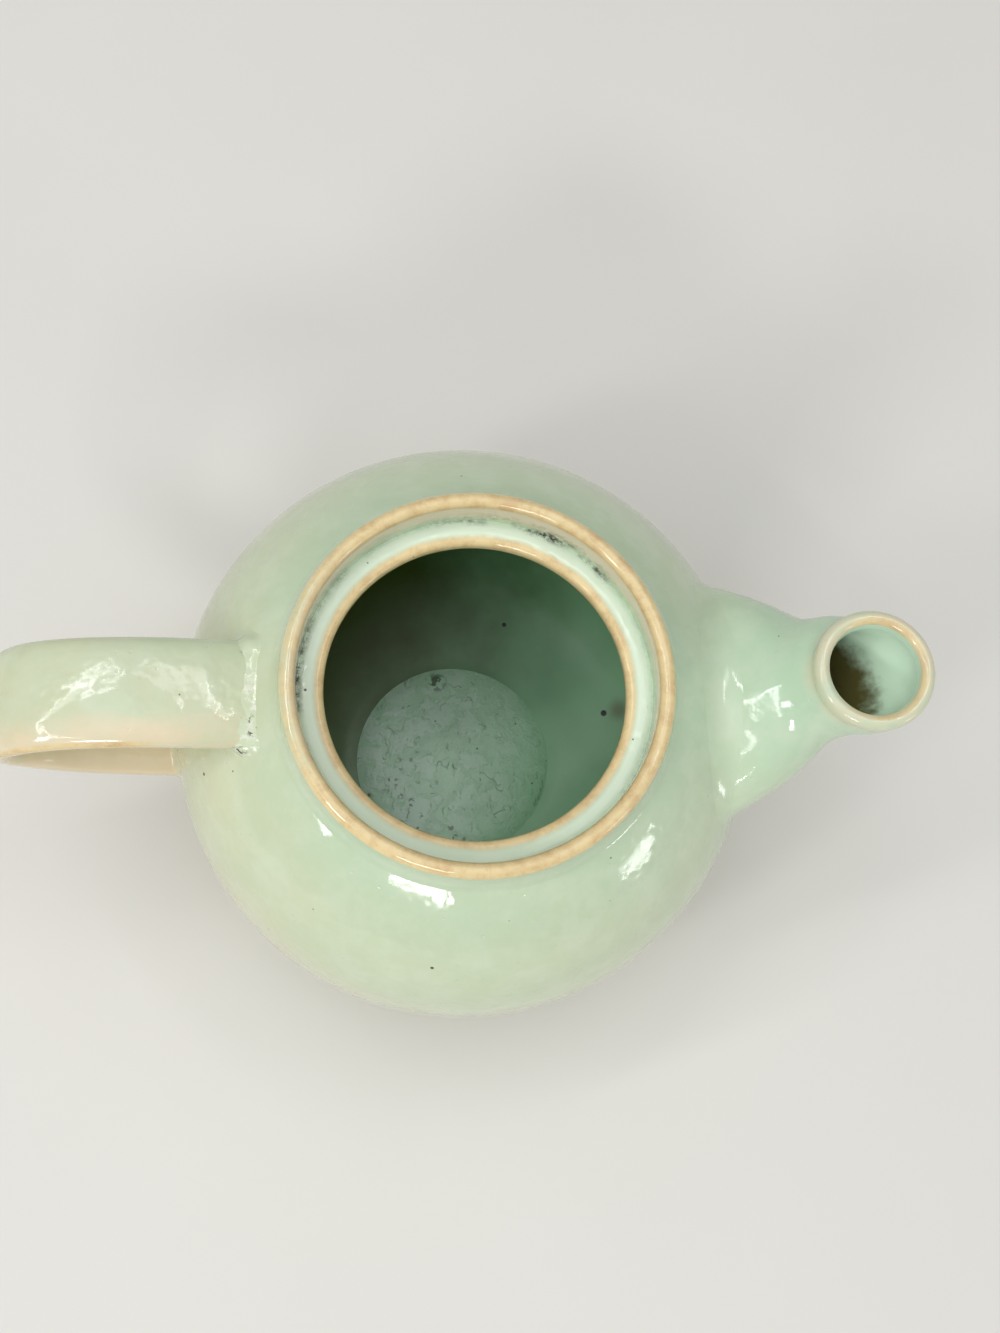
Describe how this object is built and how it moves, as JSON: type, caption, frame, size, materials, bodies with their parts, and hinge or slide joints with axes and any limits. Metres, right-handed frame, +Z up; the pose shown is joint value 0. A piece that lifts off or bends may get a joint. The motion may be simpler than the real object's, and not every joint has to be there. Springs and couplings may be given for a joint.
{
  "type": "stoneware teapot",
  "caption": "Small round celadon-glazed stoneware teapot without its lid: open mouth with a lid seat inside a low collar, upward cone spout with a rolled lip, and a strap handle loop.",
  "frame": {"origin": "on the table plane, on the pot's turning axis, under the middle of the foot ring", "axes": "+Z up along the turning axis, +X from the axis to the spout, -X to the handle, +Y to the left of the spout seen from the handle"},
  "size_m": [0.199, 0.13, 0.0923],
  "materials": {
    "celadon_glaze": "glossy pale grey-green celadon glaze, warmer towards the foot",
    "thin_glaze": "glossy celadon glaze that breaks to warm tan where it runs thin over edges",
    "pooled_glaze": "glossy darker green glaze where it runs thick",
    "bare_clay": "matt unglazed stoneware clay"
  },
  "bodies": {
    "root": {"body": "celadon_glaze", "foot_ring": "bare_clay", "glaze_pool": "pooled_glaze", "lid_ledge": "celadon_glaze", "collar": "thin_glaze", "spout": "celadon_glaze", "spout_lip": "thin_glaze", "spout_join": "celadon_glaze", "strainer": "pooled_glaze", "handle": "celadon_glaze", "handle_upper_join": "celadon_glaze", "handle_lower_join": "celadon_glaze"}
  },
  "joints": []
}
